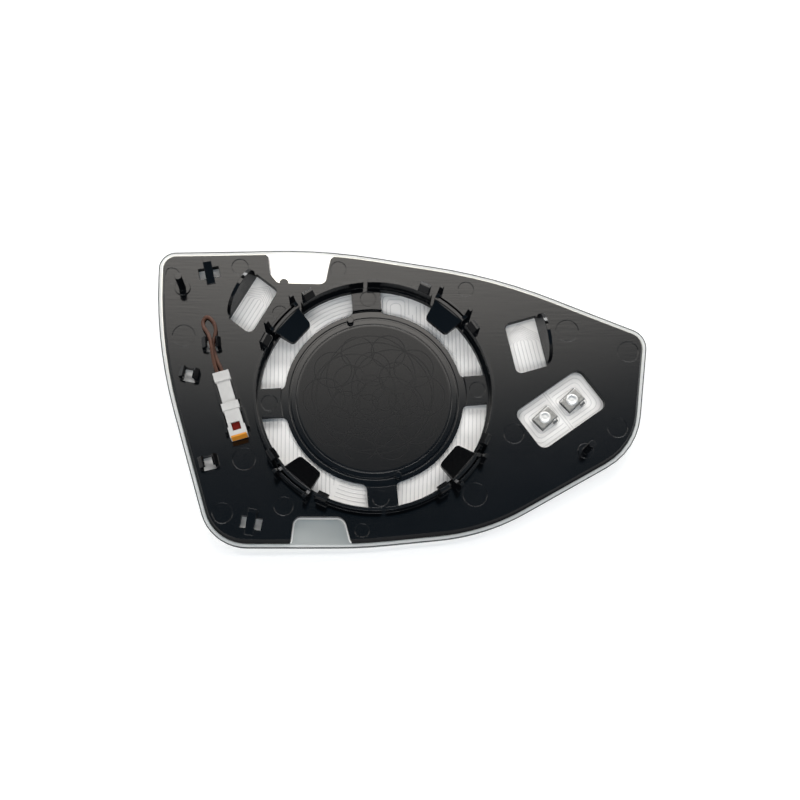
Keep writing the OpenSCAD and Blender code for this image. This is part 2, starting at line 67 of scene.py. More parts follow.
# Snap ring, hub, spokes and seat disc
RING_TURN = 4.2
RING_R = 44.0
HUB_R = 34.8
RECESS_R = 36.0
SPOKE_W = 11.4
SEAT_R = 30.0

# Slots beside the fins: place and turn of each fin, then each slot's far edge and the rake of its sides
SLOT_L = 21.2
FIN_FEET = ((-51.4, 40.5, 60.7), (66.35, 23.0, 101.4))
SLOT_FAR = (-10.8, 13.0)
SLOT_RAKES = (-1.6, -1.0)

# Window of the terminals, and the pair of terminals in it: place and turn, half their distance, size
TERMINAL_WINDOW = (72.5, -5.1, 34.7)
TERMINAL_WINDOW_SIZE = (32.0, 18.6)
TERMINAL_PAIR = (71.7, -5.0, 33.0)
TERMINAL_GAP = 6.5
TERMINAL_SIZE = (8.0, 6.3)

# Rivet heads: height above the foil that their profile counts from, and its radii and heights, middle first
RIVET_TOP = 2.24
RIVET_PROFILE = ((0.0, 0.20), (0.7, 0.20), (1.15, 0.16), (1.4, 0.30), (1.8, 0.38), (2.2, 0.30),
                 (2.45, 0.0), (2.0, -0.3))
RIVET_SIDES = 40

# Connector: place of its wire end, turn, length, height of the cradle's floor, and the amber fold at its tip
CONNECTOR_END = (-58.5, 7.45)
CONNECTOR_TURN = -72.9
CONNECTOR_L = 26.4
CRADLE_FLOOR = 0.5
LIP_ALONG = (25.8, 26.46)
LIP_HALF_W = 2.95
LIP_HEIGHT = (0.4, 5.64)

# Jumper wire: thickness, fineness of its skin, and points in the connector's own frame, as in the CAD model
WIRE_D = 1.4
WIRE_STEPS = 10
WIRE_SIDES = 20
WIRE_ROUTE = (
    (4.5, -1.3, 3.0),
    (-1.5, -1.3, 3.0),
    (-4.3, -1.3, 3.1),
    (-7.1, -1.1, 3.3),
    (-10.3, -0.7, 3.5),
    (-14.1, -0.3, 3.5),
    (-17.3, -0.5, 2.9),
    (-20.4, -1.3, 1.7),
    (-22.8, -1.1, 1.2),
    (-24.3, 0.3, 1.2),
    (-23.9, 1.7, 1.2),
    (-21.3, 2.8, 1.2),
    (-18.3, 2.7, 1.3),
    (-16.0, 1.8, 1.5),
    (-13.0, 0.4, 1.7),
    (-8.9, -0.1, 2.2),
    (-5.0, 0.1, 2.8),
    (-1.5, 0.55, 3.0),
    (4.5, 0.55, 3.0),
)

# Slope of the plate's outer edge: how far its upper line lies inside the lower one, how far in it is felt,
# and how near to the upper face a point has to be to belong to it
EDGE_SLOPE = 1.25
SLOPE_REACH = 2.4
FACE_SLACK = 0.2

# Rim of the glass: dark line of painted shade round its edge, ground pale band inside it, and the bands'
# depth, rise and overhang
OUTLINE_STEP = 1.5
RIM_LINE_W = 0.38
RIM_W = 1.3
RIM_DEPTH = 0.3
RIM_RISE = 0.03
RIM_OVERHANG = 0.02

# Printed heater tracks: distance, width, lift off the foil, thickness, sampling step, every which sample is
# kept, distance from the plate's edges, and the turn between two points of an arc and of a corner
TRACK_STEP = 1.55
TRACK_W = 0.36
TRACK_LIFT = 0.005
TRACK_T = 0.03
CLIP_STEP = 0.25
CLIP_KEEP = 4
EDGE_GAP = 0.15
ARC_TURN = 3
CORNER_TURN = 30

# Tracks round the hub: fields of stripes with their lean, fields of arcs, and the field of nested loops
STRIPE_FIELDS = ((-78, -6, 0.05), (8, 66, 0.0), (132, 246, 0.0))
ARC_FIELDS = ((97, 130), (248, 271))
ARC_COUNT = 6
ARC_FIRST = 0.8
LOOP_FIELD = (68, 94)
LOOP_COUNT = 3
LOOP_X = 8.8
LOOP_HALF_W = 5.2
LOOP_TOP = 42.6
LOOP_FOOT = 34.0
LOOP_CORNER = 1.0

# Gables in the slots: ridge as a share of the slot's width, first offset, where the first peak stands, how
# far each next one stands from it, and how steeply their sides fall
GABLE_COUNT = 8
GABLE_RIDGE = 0.55
GABLE_FIRST = 0.7
GABLE_FOOT = 3.0
GABLE_GROWTH = 0.9
GABLE_FALL = 0.8

# Frames round the terminals: first offset, corner radius and its growth, and the double line between them
FRAME_COUNT = 7
FRAME_FIRST = 1.1
FRAME_CORNER = 1.0
CORNER_GROWTH = 0.4
DIVIDER_X = -0.6
DIVIDER_HALF = 0.55
DIVIDER_CLEAR = 1.1

# Turning marks on the seat disc: how many circles stand how far from its middle and their radius, how much
# that varies, the lines' width, where noise breaks them, and how far inside the disc's edge they fade
MARK_RINGS = ((10, 19.5, 7.2), (7, 11.5, 6.2), (3, 4.0, 4.6), (5, 8.0, 15.5), (1, 0.0, 22.5))
MARK_SPREAD = 0.12
MARK_W = 0.4
MARK_BREAKS = (0.22, 0.52)
DISC_FADE = (0.2, 1.0)

# Black plastic: roughness that the marks, the disc and the steep faces add, shine that the marks and the
# disc lose, and share of it that the steep faces keep
MARK_ROUGH = 0.08
DISC_ROUGH = 0.13
SIDE_ROUGH = 0.1
MARK_DULL = 0.04
DISC_DULL = 0.16
SIDE_SHINE = 0.15

# From which y to which the plate's flow lines come in
FLOW_RISE = (0.0, 45.0)

# Upward part of the normal, from which to which a face counts as shiny, as crowned and as coated glass
SHINY_LEVEL = (0.6, 0.95)
CROWN_LEVEL = (0.990, 0.9965)
COAT_LEVEL = (0.90, 0.99)

# How far inside the recess's edge the crown's even normals set in
HUB_FADE = 0.1

# How metallic the coated glass and its ground rim are
COAT_METALLIC = 0.54
RIM_METALLIC = 0.3

# Darkest and palest tone of each material
BLACK = ((0.0018, 0.0020, 0.0025), (0.0028, 0.0030, 0.0036))
SILVER = ((0.82, 0.81, 0.75), (0.86, 0.85, 0.79))
GLASS_SIDE = (0.06, 0.075, 0.075)
GROUND = ((0.67, 0.68, 0.67), (0.72, 0.73, 0.72))
# Painted shade: tone of the dark line laid round the glass's edge
EDGE_SHADE_TONES = ((0.05, 0.055, 0.055), (0.08, 0.085, 0.085))
FOIL = ((0.97, 0.94, 0.91), (0.99, 0.97, 0.94))
INK = ((0.76, 0.74, 0.72), (0.82, 0.80, 0.78))
TINNED = ((0.24, 0.24, 0.235), (0.36, 0.36, 0.35))
BRIGHT = ((0.74, 0.74, 0.73), (0.84, 0.84, 0.83))
BRASS = ((0.7, 0.55, 0.25), (0.78, 0.63, 0.32))
WHITE = ((0.49, 0.48, 0.465), (0.55, 0.54, 0.52))
RED = ((0.13, 0.006, 0.003), (0.17, 0.010, 0.005))
AMBER = ((0.62, 0.235, 0.02), (0.70, 0.275, 0.03))
BROWN = ((0.066, 0.027, 0.016), (0.096, 0.041, 0.025))

# The camera stands over a foot point below the object and looks a little up the picture
FOOT_PX = (350.0, 690.0)
AXIS_PX = (400.0, 472.0)
RING_PX = (375.0, 396.5)
IMAGE_PX = 800.0
MM_PER_PX = 0.39
CAMERA_H = 360.0
VIEW_SPAN = 312.0
SENSOR = 36.0

# The room: where the bright window starts and ends overhead, where the walls end, and the light of each part
WINDOW_SLANT = 0.02
WINDOW_EDGE = 0.325
WINDOW_BLUR = 0.048
WINDOW_END = 0.48
FAR_BLUR = 0.03
WALL_TOP = 0.48
WALL_BLUR = 0.06
WINDOW_TONE = (3.7, 3.55, 3.35)
CEILING_TONE = (0.07, 0.12, 0.17)
FAR_TONE = (0.0, 0.0, 0.0)
WALL_TONE = (1.0, 1.0, 1.0)

# Floor, in metres: half its side, its tone, its own glow near the object, and where that rises to white
FLOOR_HALF = 3.0
FLOOR_TONE = 0.85
FLOOR_GLOW = 0.34
FLOOR_FADE = (0.35, 1.2)

# Lights, in metres and watts: name, place, size and power
LIGHTS = (
    ("key", (0.1, 1.2, 0.72), (1.4, 0.35), 14.5),
    ("fill", (-0.2, -1.1, 0.8), (1.2, 0.4), 9.0),
)


def true_rise(x, y):
    """Rise of the true crown above its lowest point."""
    return ((x - CROWN_MID[0]) ** 2 + (y - CROWN_MID[1]) ** 2) / (2 * MIRROR_R)


def crown(x, y):
    """Rise of the crowned faces above their lowest point, in the same straight steps as the solids."""
    r = math.hypot(x - CROWN_MID[0], y - CROWN_MID[1]) / CROWN_STEP
    k = math.floor(r)
    low, high = (k * CROWN_STEP) ** 2, ((k + 1) * CROWN_STEP) ** 2
    return (low + (high - low) * (r - k)) / (2 * MIRROR_R)


def terminal_place(side):
    """Middle of the left (-1) or right (1) terminal."""
    x, y, turn = TERMINAL_PAIR
    along = math.radians(turn)
    return x + side * TERMINAL_GAP * math.cos(along), y + side * TERMINAL_GAP * math.sin(along)


def connector_place():
    """The connector's own frame, with x along it and z out of the plate."""
    along = math.radians(CONNECTOR_TURN)
    x = CONNECTOR_END[0] + CONNECTOR_L / 2 * math.cos(along)
    y = CONNECTOR_END[1] + CONNECTOR_L / 2 * math.sin(along)
    foot = Matrix.Translation((*CONNECTOR_END, PLATE_TOP + true_rise(x, y) + CRADLE_FLOOR))
    return foot @ Matrix.Rotation(along, 4, "Z")


def in_frame(x, y, turn, points):
    """Points of a turned local frame in the part's own plane."""
    c, s = math.cos(math.radians(turn)), math.sin(math.radians(turn))
    return [(x + c * a - s * b, y + s * a + c * b) for a, b in points]


def on_plane(px):
    """Point of the foil's plane that a pixel of the reference picture shows, near enough for aiming."""
    return Vector(((px[0] - RING_PX[0]) * MM_PER_PX, (RING_PX[1] - px[1]) * MM_PER_PX, FOIL_TOP))


def make_camera():
    place = on_plane(FOOT_PX) + Vector((0, 0, CAMERA_H))
    back = (place - on_plane(AXIS_PX)).normalized()
    right = (Vector((1, 0, 0)) - back * back.x).normalized()
    up = back.cross(right)
    middle = on_plane((IMAGE_PX / 2, IMAGE_PX / 2))
    depth = (place - middle).dot(back)
    data = bpy.data.cameras.new("camera")
    data.sensor_width = SENSOR
    data.lens = SENSOR * depth / VIEW_SPAN
    data.shift_y = (AXIS_PX[1] - IMAGE_PX / 2) / IMAGE_PX
    data.clip_start = 0.01
    data.clip_end = 20.0
    cam = bpy.data.objects.new("camera", data)
    bpy.context.scene.collection.objects.link(cam)
    turn = Matrix((right, up, back)).transposed().to_4x4()
    cam.matrix_world = Matrix.Translation(place * MM) @ turn
    bpy.context.scene.camera = cam


def new_material(name):
    mat = bpy.data.materials.new(name)
    mat.use_nodes = True
    nodes, links = mat.node_tree.nodes, mat.node_tree.links
    nodes.clear()
    out = nodes.new("ShaderNodeOutputMaterial")
    shader = nodes.new("ShaderNodeBsdfPrincipled")
    links.new(shader.outputs[0], out.inputs[0])
    return mat, nodes, links, shader


def plug(links, socket, value):
    """Sets a socket to a plain value, or links it to another node's output."""
    if isinstance(value, bpy.types.NodeSocket):
        links.new(value, socket)
    else:
        socket.default_value = value


def maths(nodes, links, operation, *values):
    node = nodes.new("ShaderNodeMath")
    node.operation = operation
    for socket, value in zip(node.inputs, values):
        plug(links, socket, value)
    return node.outputs[0]


def vector_maths(nodes, links, operation, *values):
    """A number for a length or a distance, and a vector for anything else."""
    node = nodes.new("ShaderNodeVectorMath")
    node.operation = operation
    for socket, value in zip(node.inputs, values):
        plug(links, socket, value)
    return node.outputs["Value" if operation in ("LENGTH", "DISTANCE") else "Vector"]


def smooth_step(nodes, links, value, start, end):
    """Rises from 0 at start to 1 at end, or falls where end is the lower one."""
    node = nodes.new("ShaderNodeMapRange")
    node.interpolation_type = "SMOOTHSTEP"
    falls = end < start
    node.inputs["From Min"].default_value = min(start, end)
    node.inputs["From Max"].default_value = max(start, end)
    node.inputs["To Min"].default_value = 1.0 if falls else 0.0
    node.inputs["To Max"].default_value = 0.0 if falls else 1.0
    links.new(value, node.inputs["Value"])
    return node.outputs["Result"]


def blend_tones(nodes, links, share, low, high):
    """Colour that goes from low to high; each is a colour or another node's output."""
    node = nodes.new("ShaderNodeMix")
    node.data_type = "RGBA"
    links.new(share, node.inputs["Factor"])
    for socket, tone in ((node.inputs[6], low), (node.inputs[7], high)):
        plug(links, socket, (*tone, 1) if isinstance(tone, tuple) else tone)
    return node.outputs[2]


def object_place(nodes):
    """Place on the object, in its own frame."""
    return nodes.new("ShaderNodeTexCoord").outputs["Object"]


def axis_parts(nodes, links, vector):
    """The three parts of a vector."""
    node = nodes.new("ShaderNodeSeparateXYZ")
    links.new(vector, node.inputs[0])
    return node.outputs


def object_noise(nodes, links, scale, detail=4.0, rough=0.5, stretch=(1, 1, 1)):
    """Noise in object space; scale is in cells per metre."""
    place = nodes.new("ShaderNodeMapping")
    place.inputs["Scale"].default_value = stretch
    links.new(object_place(nodes), place.inputs["Vector"])
    noise = nodes.new("ShaderNodeTexNoise")
    noise.inputs["Scale"].default_value = scale
    noise.inputs["Detail"].default_value = detail
    noise.inputs["Roughness"].default_value = rough
    links.new(place.outputs[0], noise.inputs["Vector"])
    return noise.outputs["Fac"]


def mottle(nodes, links, tones, scale, detail):
    """Colour that wanders between two tones over the surface."""
    node = nodes.new("ShaderNodeValToRGB")
    for element, spot, tone in zip(node.color_ramp.elements, (0.3, 0.7), tones):
        element.position = spot
        element.color = (*tone, 1)
    links.new(object_noise(nodes, links, scale, detail), node.inputs[0])
    return node.outputs["Color"]


def waver(nodes, links, low, high, scale, detail, rough=0.5):
    """Value that wanders between two others over the surface."""
    node = nodes.new("ShaderNodeMapRange")
    node.inputs["To Min"].default_value = low
    node.inputs["To Max"].default_value = high
    links.new(object_noise(nodes, links, scale, detail, rough), node.inputs["Value"])
    return node.outputs["Result"]


def bump(nodes, links, height, strength, distance, normal=None):
    """Normals of a slight relief, whose distance is in millimetres."""
    node = nodes.new("ShaderNodeBump")
    node.inputs["Strength"].default_value = strength
    node.inputs["Distance"].default_value = distance * MM
    links.new(height, node.inputs["Height"])
    if normal is not None:
        links.new(normal, node.inputs["Normal"])
    return node.outputs["Normal"]


def soft_edges(nodes, radius):
    """Normals that round the edges, with the radius in millimetres."""
    node = nodes.new("ShaderNodeBevel")
    node.samples = 6
    node.inputs["Radius"].default_value = radius * MM
    return node.outputs["Normal"]


def crown_normals(nodes, links, normal):
    """Even normals over the crowned faces, whose solids rise in straight steps; other faces keep theirs."""
    flat = vector_maths(nodes, links, "MULTIPLY", object_place(nodes), (1, 1, 0))
    heart = (CROWN_MID[0] * MM, CROWN_MID[1] * MM, MIRROR_R * MM)
    even = vector_maths(nodes, links, "NORMALIZE", vector_maths(nodes, links, "SUBTRACT", heart, flat))
    up = axis_parts(nodes, links, normal)["Z"]
    level = smooth_step(nodes, links, maths(nodes, links, "ABSOLUTE", up), *CROWN_LEVEL)
    facing = nodes.new("ShaderNodeVectorMath")
    facing.operation = "SCALE"
    links.new(even, facing.inputs[0])
    links.new(maths(nodes, links, "SIGN", up), facing.inputs["Scale"])
    reach = vector_maths(nodes, links, "LENGTH", flat)
    outside = smooth_step(nodes, links, reach, (RECESS_R - HUB_FADE) * MM, RECESS_R * MM)
    mix = nodes.new("ShaderNodeMix")
    mix.data_type = "VECTOR"
    links.new(maths(nodes, links, "MULTIPLY", level, outside), mix.inputs["Factor"])
    links.new(normal, mix.inputs[4])
    links.new(facing.outputs[0], mix.inputs[5])
    return mix.outputs[1]


def turning_marks(nodes, links):
    """Thin overlapping arcs on the seat disc, 1 on a line and 0 beside it, and the disc's own mask."""
    place = object_place(nodes)
    flat = vector_maths(nodes, links, "MULTIPLY", place, (1, 1, 0))
    total = None
    for count, reach, radius in MARK_RINGS:
        for k in range(count):
            angle = 2 * math.pi * k / count + reach
            spread = 1 + MARK_SPREAD * math.sin(5 * k + reach)
            heart = (reach * math.cos(angle) * MM, reach * math.sin(angle) * MM, 0)
            gap = vector_maths(nodes, links, "DISTANCE", flat, heart)
            off = maths(nodes, links, "SUBTRACT", gap, radius * spread * MM)
            line = smooth_step(nodes, links, maths(nodes, links, "ABSOLUTE", off), MARK_W * MM, 0.0)
            total = line if total is None else maths(nodes, links, "MAXIMUM", total, line)
    broken = smooth_step(nodes, links, object_noise(nodes, links, scale=45, detail=2), *MARK_BREAKS)
    total = maths(nodes, links, "MULTIPLY", total, broken)
    inward = vector_maths(nodes, links, "LENGTH", place)
    disc = smooth_step(nodes, links, inward, (SEAT_R - DISC_FADE[0]) * MM, (SEAT_R - DISC_FADE[1]) * MM)
    return maths(nodes, links, "MULTIPLY", total, disc), disc


def plate_sheen(nodes, links, shader, marks, disc):
    """Duller and rougher on the turned disc, along its marks and on the steep faces."""
    tilt = axis_parts(nodes, links, nodes.new("ShaderNodeNewGeometry").outputs["True Normal"])["Z"]
    flat = smooth_step(nodes, links, maths(nodes, links, "ABSOLUTE", tilt), *SHINY_LEVEL)
    clouds = waver(nodes, links, 0.08, 0.12, scale=60, detail=5, rough=0.6)
    rough = maths(nodes, links, "MULTIPLY_ADD", disc, DISC_ROUGH, clouds)
    rough = maths(nodes, links, "MULTIPLY_ADD", marks, MARK_ROUGH, rough)
    steep = maths(nodes, links, "MULTIPLY_ADD", flat, -SIDE_ROUGH, SIDE_ROUGH)
    links.new(maths(nodes, links, "ADD", rough, steep), shader.inputs["Roughness"])
    dull = maths(nodes, links, "MULTIPLY", disc, DISC_DULL)
    dull = maths(nodes, links, "MULTIPLY_ADD", marks, MARK_DULL, dull)
    shine = maths(nodes, links, "MULTIPLY_ADD", flat, 1 - SIDE_SHINE, SIDE_SHINE)
    level = maths(nodes, links, "MULTIPLY", maths(nodes, links, "SUBTRACT", 0.5, dull), shine)
    links.new(level, shader.inputs["Specular IOR Level"])


def plate_relief(nodes, links, marks):
    """Normals with soft edges, flow lines in the plate's upper part, a fine grain and shallow marks."""
    edges = crown_normals(nodes, links, soft_edges(nodes, 0.3))
    along = axis_parts(nodes, links, object_place(nodes))["Y"]
    upper = smooth_step(nodes, links, along, FLOW_RISE[0] * MM, FLOW_RISE[1] * MM)
    streaks = object_noise(nodes, links, scale=1300, detail=3, stretch=(0.05, 1, 1))
    flow = maths(nodes, links, "MULTIPLY", streaks, upper)
    lines = bump(nodes, links, flow, strength=0.07, distance=0.12, normal=edges)
    cells = object_noise(nodes, links, scale=2600, detail=3)
    grain = bump(nodes, links, cells, strength=0.05, distance=0.1, normal=lines)
    dents = maths(nodes, links, "MULTIPLY", marks, -1.0)
    return bump(nodes, links, dents, strength=0.04, distance=0.05, normal=grain)


def black_plastic():
    mat, nodes, links, shader = new_material("black_plastic")
    shader.inputs["IOR"].default_value = 1.5
    links.new(mottle(nodes, links, BLACK, scale=35, detail=3), shader.inputs["Base Color"])
    marks, disc = turning_marks(nodes, links)
    plate_sheen(nodes, links, shader, marks, disc)
    links.new(plate_relief(nodes, links, marks), shader.inputs["Normal"])
    return mat


def mirror_coat():
    mat, nodes, links, shader = new_material("mirror_glass")
    shader.inputs["Metallic"].default_value = COAT_METALLIC
    soft = soft_edges(nodes, 1.1)
    up = axis_parts(nodes, links, soft)["Z"]
    level = smooth_step(nodes, links, maths(nodes, links, "ABSOLUTE", up), *COAT_LEVEL)
    face = mottle(nodes, links, SILVER, scale=40, detail=3)
    links.new(blend_tones(nodes, links, level, GLASS_SIDE, face), shader.inputs["Base Color"])
    links.new(waver(nodes, links, 0.03, 0.09, scale=90, detail=4), shader.inputs["Roughness"])
    links.new(crown_normals(nodes, links, soft), shader.inputs["Normal"])
    return mat


def ground_rim():
    mat, nodes, links, shader = new_material("ground_rim")
    shader.inputs["Metallic"].default_value = RIM_METALLIC
    links.new(mottle(nodes, links, GROUND, scale=200, detail=3), shader.inputs["Base Color"])
    links.new(waver(nodes, links, 0.2, 0.3, scale=500, detail=3), shader.inputs["Roughness"])
    return mat


def foil():
    mat, nodes, links, shader = new_material("heater_foil")
    shader.inputs["Roughness"].default_value = 0.3
    links.new(mottle(nodes, links, FOIL, scale=120, detail=4), shader.inputs["Base Color"])
    waves = object_noise(nodes, links, scale=500, detail=3)
    links.new(bump(nodes, links, waves, strength=0.15, distance=0.2), shader.inputs["Normal"])
    return mat


def plain_plastic(name, tones, rough, shine=0.5):
    mat, nodes, links, shader = new_material(name)
    shader.inputs["Specular IOR Level"].default_value = shine
    links.new(mottle(nodes, links, tones, scale=300, detail=3), shader.inputs["Base Color"])
    wear = waver(nodes, links, rough - 0.05, rough + 0.05, scale=700, detail=3)
    links.new(wear, shader.inputs["Roughness"])
    cells = object_noise(nodes, links, scale=3000, detail=2)
    grain = bump(nodes, links, cells, strength=0.05, distance=0.1, normal=soft_edges(nodes, 0.2))
    links.new(grain, shader.inputs["Normal"])
    return mat


def bare_metal(name, tones, rough):
    mat, nodes, links, shader = new_material(name)
    shader.inputs["Metallic"].default_value = 1.0
    links.new(mottle(nodes, links, tones, scale=900, detail=4), shader.inputs["Base Color"])
    wear = waver(nodes, links, rough - 0.06, rough + 0.08, scale=1500, detail=3)
    links.new(wear, shader.inputs["Roughness"])
    links.new(soft_edges(nodes, 0.15), shader.inputs["Normal"])
    return mat


def dress(mat, *names):
    """Puts the material on the named solids, and hands it back for the pieces that share it."""
    for name in names:
        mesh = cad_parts[name].data
        mesh.materials.clear()
        mesh.materials.append(mat)
    return mat


def add_piece(name, mesh, mat):
    """Adds a mesh with one material, riding on the part's only body."""
    mesh.materials.clear()
    mesh.materials.append(mat)
    obj = bpy.data.objects.new(name, mesh)
    bpy.context.scene.collection.objects.link(obj)
    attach(obj, "root")
    return obj


def new_mesh(name, verts, faces):
    mesh = bpy.data.meshes.new(name)
    mesh.from_pydata(verts, [], faces)
    return mesh


def sampled(points):
    """The line through the points, as closely spaced points."""
    out = [points[0]]
    for a, b in zip(points, points[1:]):
        steps = max(1, math.ceil(math.dist(a, b) / CLIP_STEP))
        out += [(a[0] + (b[0] - a[0]) * k / steps, a[1] + (b[1] - a[1]) * k / steps)
                for k in range(1, steps + 1)]
    return out


def kept_runs(points, inside):
    """The stretches of a line that lie inside an opening, thinned to what the crown needs."""
    runs, run = [], []
    for point in sampled(points) + [None]:
        if point is not None and inside(*point):
            run.append(point)
            continue
        if len(run) > CLIP_KEEP:
            runs.append(run[:-1:CLIP_KEEP] + [run[-1]])
        run = []
    return runs


def ribbon(verts, faces, line):
    """Adds a thin closed strip along the line, on top of the foil."""
    first = len(verts)
    for i, (x, y) in enumerate(line):
        a, b = line[max(i - 1, 0)], line[min(i + 1, len(line) - 1)]
        run = math.dist(a, b)
        side = (-(b[1] - a[1]) / run * TRACK_W / 2, (b[0] - a[0]) / run * TRACK_W / 2)
        low = FOIL_TOP + crown(x, y) + TRACK_LIFT
        for s, z in ((-1, low), (-1, low + TRACK_T), (1, low + TRACK_T), (1, low)):
            verts.append(((x + s * side[0]) * MM, (y + s * side[1]) * MM, z * MM))
    for i in range(len(line) - 1):
        at = first + 4 * i
        faces += [(at + k, at + (k + 1) % 4, at + 4 + (k + 1) % 4, at + 4 + k) for k in range(4)]
    last = first + 4 * (len(line) - 1)
    faces += [(first + 3, first + 2, first + 1, first), (last, last + 1, last + 2, last + 3)]


def arc(radius, start, end):
    count = max(3, round(abs(end - start) / ARC_TURN))
    angles = [math.radians(start + (end - start) * k / count) for k in range(count + 1)]
    return [(radius * math.cos(a), radius * math.sin(a)) for a in angles]


def ring_opening(start, end):
    """Test whether a point lies in the openings round the hub, between two angles in degrees."""
    def inside(x, y):
        r = math.hypot(x, y)
        if not HUB_R + EDGE_GAP < r < RING_R - EDGE_GAP:
            return False
        angle = math.degrees(math.atan2(y, x))
        if not 0 < (angle - start) % 360 < (end - start):
            return False
        turned = math.radians((angle - RING_TURN) % 90)
        return min(r * math.sin(turned), r * math.cos(turned)) > SPOKE_W / 2 + EDGE_GAP
    return inside


def ring_tracks():
    """Stripes in the side openings, arcs and nested loops beside the upper and lower spokes."""
    lines = []
    stripes = math.ceil(RING_R / TRACK_STEP)
    for start, end, lean in STRIPE_FIELDS:
        for k in range(-stripes, stripes + 1):
            x = k * TRACK_STEP
            stripe = [(x - lean * RING_R, -RING_R), (x + lean * RING_R, RING_R)]
            lines += kept_runs(stripe, ring_opening(start, end))
    for start, end in ARC_FIELDS:
        for k in range(ARC_COUNT):
            curve = arc(HUB_R + ARC_FIRST + k * TRACK_STEP, start, end)
            lines += kept_runs(curve, ring_opening(start, end))
    for k in range(LOOP_COUNT):
        half, top = LOOP_HALF_W - k * TRACK_STEP, LOOP_TOP - k * TRACK_STEP
        left, right = LOOP_X - half, LOOP_X + half
        loop = [(left, LOOP_FOOT), (left, top - LOOP_CORNER), (left + LOOP_CORNER, top),
                (right - LOOP_CORNER, top), (right, top - LOOP_CORNER), (right, LOOP_FOOT)]
        lines += kept_runs(loop, ring_opening(*LOOP_FIELD))
    return lines


def slot_opening(far, rake):
    """Test whether a point of a fin's own frame lies in the slot beside it."""
    edge = SLOT_L / 2 - EDGE_GAP

    def inside(u, v):
        share = v / far
        return EDGE_GAP / abs(far) < share < 1 - EDGE_GAP / abs(far) and -edge < u - rake * share < edge
    return inside


def slot_tracks():
    """Nested gables in the slots beside the fins, with their legs along the slot."""
    lines = []
    for place, far, rake in zip(FIN_FEET, SLOT_FAR, SLOT_RAKES):
        ridge = GABLE_RIDGE * far
        for k in range(GABLE_COUNT):
            out = GABLE_FIRST + k * TRACK_STEP
            peak = GABLE_FOOT + GABLE_GROWTH * k
            eaves = peak - GABLE_FALL * out
            gable = [(-SLOT_L, ridge - out), (eaves, ridge - out), (peak, ridge), (eaves, ridge + out),
                     (-SLOT_L, ridge + out)]
            lines += [in_frame(*place, run) for run in kept_runs(gable, slot_opening(far, rake))]
    return lines


def rounded_frame(half_l, half_w, radius):
    corners = []
    for sx, sy, start in ((1, 1, 0), (-1, 1, 90), (-1, -1, 180), (1, -1, 270)):
        for k in range(90 // CORNER_TURN + 1):
            turn = math.radians(start + CORNER_TURN * k)
            corners.append((sx * (half_l - radius) + radius * math.cos(turn),
                            sy * (half_w - radius) + radius * math.sin(turn)))
    return corners + corners[:1]


def window_tracks():
    """Nested frames round each terminal, with a double line between them."""
    x, y, turn = TERMINAL_WINDOW
    half_l, half_w = TERMINAL_WINDOW_SIZE[0] / 2, TERMINAL_WINDOW_SIZE[1] / 2
    lines = []
    for side in (-1, 1):
        px, py = terminal_place(side)
        mid_x, mid_y = in_frame(0, 0, -turn, [(px - x, py - y)])[0]

        def inside(u, v):
            clear = abs(u) < half_l - EDGE_GAP and abs(v) < half_w - EDGE_GAP
            return clear and side * (u - DIVIDER_X) > DIVIDER_CLEAR
        for k in range(FRAME_COUNT):
            out = FRAME_FIRST + k * TRACK_STEP
            corner = FRAME_CORNER + CORNER_GROWTH * out
            shape = rounded_frame(TERMINAL_SIZE[0] / 2 + out, TERMINAL_SIZE[1] / 2 + out, corner)
            shape = [(mid_x + a, mid_y + b) for a, b in shape]
            lines += [in_frame(x, y, turn, run) for run in kept_runs(shape, inside)]
    for offset in (-DIVIDER_HALF, DIVIDER_HALF):
        line = [(DIVIDER_X + offset, -half_w), (DIVIDER_X + offset, half_w)]
        runs = kept_runs(line, lambda u, v: abs(v) < half_w - EDGE_GAP)
        lines += [in_frame(x, y, turn, run) for run in runs]
    return lines


def heater_tracks():
    verts, faces = [], []
    for line in ring_tracks() + slot_tracks() + window_tracks():
        ribbon(verts, faces, line)
    mesh = new_mesh("heater_tracks", verts, faces)
    add_piece("heater_tracks", mesh, plain_plastic("track_ink", INK, 0.4))


def outline_of(node):
    """The convex outline of a node seen from above, in millimetres, closely spaced and anticlockwise."""
    places = [v.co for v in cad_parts[node].data.vertices]
    spots = sorted({(round(p.x / MM, 4), round(p.y / MM, 4)) for p in places})
    chains = []
    for row in (spots, spots[::-1]):
        chain = []
        for p in row:
            while len(chain) > 1 and ((chain[-1][0] - chain[-2][0]) * (p[1] - chain[-2][1])
                                      - (chain[-1][1] - chain[-2][1]) * (p[0] - chain[-2][0])) <= 0:
                chain.pop()
            chain.append(p)
        chains += chain[:-1]
    out = []
    for a, b in zip(chains, chains[1:] + chains[:1]):
        steps = max(1, math.ceil(math.dist(a, b) / OUTLINE_STEP))
        out += [(a[0] + (b[0] - a[0]) * k / steps, a[1] + (b[1] - a[1]) * k / steps) for k in range(steps)]
    return out


def inward_of(a, b):
    """Direction to the left of the way from a to b, which is inwards on an anticlockwise outline."""
    run = math.dist(a, b)
    return -(b[1] - a[1]) / run, (b[0] - a[0]) / run


def gap_beside(a, b, x, y):
    """How far a point lies to the left of the way from a to b."""
    return ((b[0] - a[0]) * (y - a[1]) - (b[1] - a[1]) * (x - a[0])) / math.dist(a, b)


